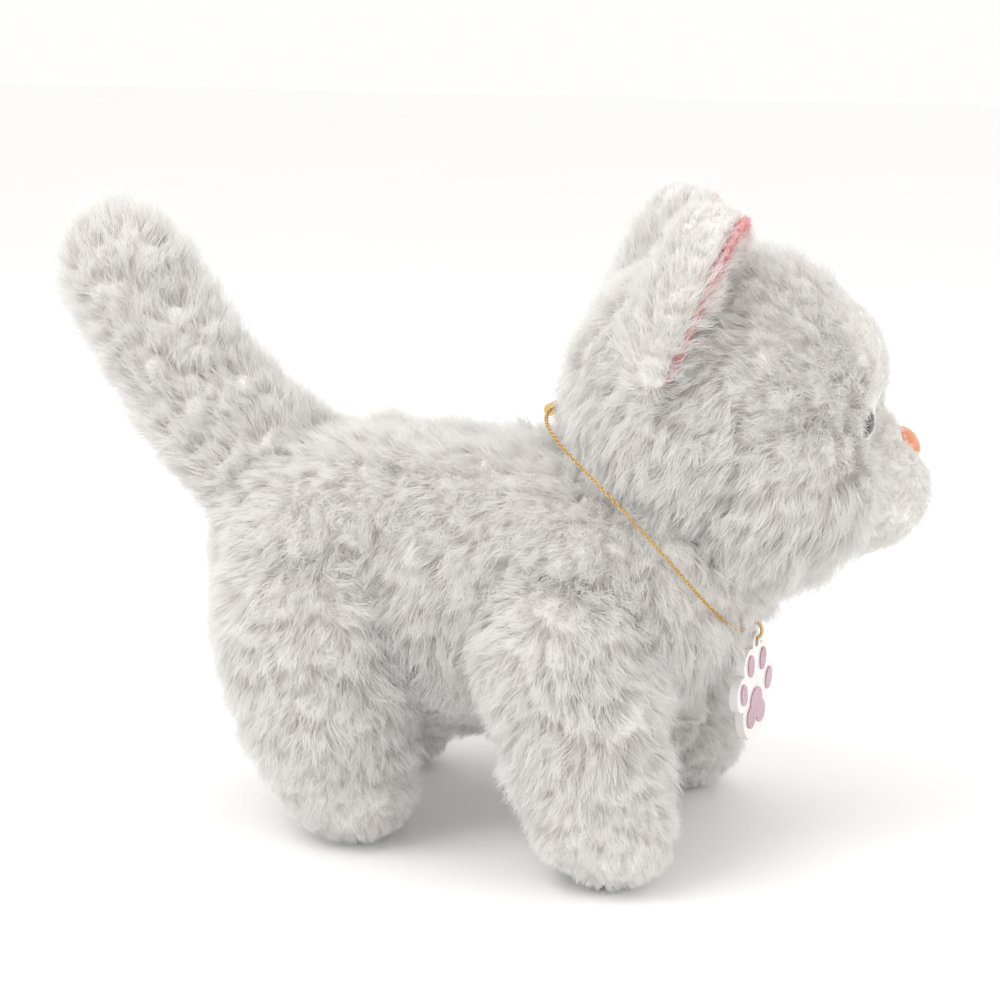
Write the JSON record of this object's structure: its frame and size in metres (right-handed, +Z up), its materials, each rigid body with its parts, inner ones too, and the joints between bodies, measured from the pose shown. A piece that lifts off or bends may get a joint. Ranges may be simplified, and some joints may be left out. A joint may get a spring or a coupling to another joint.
{
  "type": "interactive plush pet",
  "caption": "Walking plush kitten with swinging legs, turning head, wagging tail, belly flap over a battery box, and a fine necklace with a paw tag.",
  "frame": {"origin": "on the floor, under the middle of the pet's overall box", "axes": "+X to the chest, +Y to the pet's left, +Z up"},
  "size_m": [0.2489, 0.125, 0.1851],
  "materials": {
    "white_plush": "long soft pile",
    "pink_lining": "short velour pile",
    "case_plastic": "matt moulded",
    "gear_plastic": "satin acetal",
    "black_plastic": "matt moulded",
    "screw_steel": "zinc plated",
    "can_steel": "bright can",
    "cell_wrap": "shrink wrap",
    "contact_steel": "nickel plated",
    "board_green": "solder mask",
    "wire_red": "soft insulation",
    "dome_rubber": "silicone",
    "eye_black": "polished",
    "nose_coral": "satin",
    "gold_metal": "polished plate",
    "tag_white": "enamel",
    "tag_mauve": "enamel",
    "hook_fabric": "hook tape"
  },
  "bodies": {
    "root": {"torso_plush": "white_plush", "housing_right": "case_plastic", "housing_left": "case_plastic", "case_screws": "screw_steel", "pivot_screws": "screw_steel", "battery_tray": "case_plastic", "battery_cover": "case_plastic", "battery_cells": "cell_wrap", "battery_contacts": "contact_steel", "switch_body": "black_plastic", "button_carrier": "case_plastic", "button_dome": "dome_rubber", "circuit_board": "board_green", "speaker": "black_plastic", "wiring": "wire_red", "motor": "can_steel", "gear_plate": "gear_plastic", "neck_bracket": "case_plastic", "tail_bracket": "case_plastic", "tail_pin": "screw_steel", "necklace_chain": "gold_metal", "necklace_clasp": "gold_metal"},
    "belly_flap": {"belly_flap": "white_plush", "hook_tape": "hook_fabric"},
    "power_switch": {"switch_slider": "black_plastic"},
    "touch_button": {"touch_button": "gear_plastic"},
    "crank": {"crank_axle": "screw_steel", "output_gear": "gear_plastic", "cranks": "gear_plastic"},
    "second_gear": {"second_gear": "gear_plastic"},
    "first_gear": {"first_gear": "gear_plastic"},
    "motor_rotor": {"motor_pinion": "screw_steel"},
    "right_link": {"right_link_rod": "gear_plastic"},
    "left_link": {"left_link_rod": "gear_plastic"},
    "head": {"head_plush": "white_plush", "muzzle_plush": "white_plush", "skull_front": "case_plastic", "skull_back": "case_plastic", "skull_screws": "screw_steel", "right_eye": "eye_black", "left_eye": "eye_black", "nose": "nose_coral", "face_washers": "gear_plastic", "right_ear_back": "white_plush", "right_ear_lining": "pink_lining", "left_ear_back": "white_plush", "left_ear_lining": "pink_lining"},
    "tail": {"tail_plush": "white_plush", "tail_stem": "gear_plastic"},
    "tag": {"jump_ring": "gold_metal", "tag_plate": "tag_white", "tag_pads": "tag_mauve"},
    "right_front_leg": {"right_front_leg_plush": "white_plush", "right_front_leg_frame": "case_plastic"},
    "left_front_leg": {"left_front_leg_plush": "white_plush", "left_front_leg_frame": "case_plastic"},
    "right_hind_leg": {"right_hind_leg_plush": "white_plush", "right_hind_leg_frame": "case_plastic"},
    "left_hind_leg": {"left_hind_leg_plush": "white_plush", "left_hind_leg_frame": "case_plastic"}
  },
  "joints": [
    {"name": "crank_turn", "type": "hinge", "parent": "root", "child": "crank", "pos_m": [0.0025, 0, 0.076], "axis": [0, 1, 0], "continuous": true},
    {"name": "second_gear_turn", "type": "hinge", "parent": "root", "child": "second_gear", "pos_m": [0.02062, 0, 0.0792], "axis": [0, 1, 0], "continuous": true},
    {"name": "first_gear_turn", "type": "hinge", "parent": "root", "child": "first_gear", "pos_m": [0.03517, 0, 0.07079], "axis": [0, 1, 0], "continuous": true},
    {"name": "motor_turn", "type": "hinge", "parent": "root", "child": "motor_rotor", "pos_m": [0.01837, 0, 0.07079], "axis": [0, 1, 0], "continuous": true},
    {"name": "right_front_leg_swing", "type": "hinge", "parent": "root", "child": "right_front_leg", "pos_m": [0.04, 0, 0.062], "axis": [0, 1, 0], "range_deg": [-12, 12]},
    {"name": "left_front_leg_swing", "type": "hinge", "parent": "root", "child": "left_front_leg", "pos_m": [0.04, 0, 0.062], "axis": [0, 1, 0], "range_deg": [-12, 12]},
    {"name": "right_hind_leg_swing", "type": "hinge", "parent": "root", "child": "right_hind_leg", "pos_m": [-0.035, 0, 0.062], "axis": [0, 1, 0], "range_deg": [-12, 12]},
    {"name": "left_hind_leg_swing", "type": "hinge", "parent": "root", "child": "left_hind_leg", "pos_m": [-0.035, 0, 0.062], "axis": [0, 1, 0], "range_deg": [-12, 12]},
    {"name": "right_link_pivot", "type": "hinge", "parent": "right_front_leg", "child": "right_link", "pos_m": [0.04, -0.0295, 0.076], "axis": [0, 1, 0], "range_deg": [-12, 12]},
    {"name": "left_link_pivot", "type": "hinge", "parent": "left_front_leg", "child": "left_link", "pos_m": [0.04, 0.0295, 0.076], "axis": [0, 1, 0], "range_deg": [-12, 12]},
    {"name": "head_turn", "type": "hinge", "parent": "root", "child": "head", "pos_m": [0.06, 0, 0.124], "axis": [0, 0, 1], "range_deg": [-47, 3]},
    {"name": "tail_wag", "type": "hinge", "parent": "root", "child": "tail", "pos_m": [-0.058, 0, 0.095], "axis": [0, 0, 1], "range_deg": [-20, 20]},
    {"name": "tag_swing", "type": "hinge", "parent": "root", "child": "tag", "pos_m": [0.0828, 0, 0.0632], "axis": [0.1219, 0.9925, 0], "range_deg": [-40, 10]},
    {"name": "belly_flap_open", "type": "hinge", "parent": "root", "child": "belly_flap", "pos_m": [0.0495, 0, 0.028], "axis": [0, -1, 0], "range_deg": [0, 90]},
    {"name": "power_switch_slide", "type": "slide", "parent": "root", "child": "power_switch", "axis": [0, 1, 0], "range_m": [0, 0.003]},
    {"name": "touch_button_press", "type": "slide", "parent": "root", "child": "touch_button", "axis": [0, 0, -1], "range_m": [0, 0.0012], "stiffness_N_per_m": 500, "springref_m": -0.0006}
  ],
  "couplings": [
    {"joint": "second_gear_turn", "follows": "crank_turn", "ratio": -3.6},
    {"joint": "first_gear_turn", "follows": "crank_turn", "ratio": 11.52},
    {"joint": "motor_turn", "follows": "crank_turn", "ratio": -36.864},
    {"joint": "right_hind_leg_swing", "follows": "right_front_leg_swing", "ratio": 1},
    {"joint": "left_front_leg_swing", "follows": "right_front_leg_swing", "ratio": -1},
    {"joint": "left_hind_leg_swing", "follows": "right_front_leg_swing", "ratio": -1},
    {"joint": "right_link_pivot", "follows": "right_front_leg_swing", "ratio": -1},
    {"joint": "left_link_pivot", "follows": "right_front_leg_swing", "ratio": 1}
  ]
}
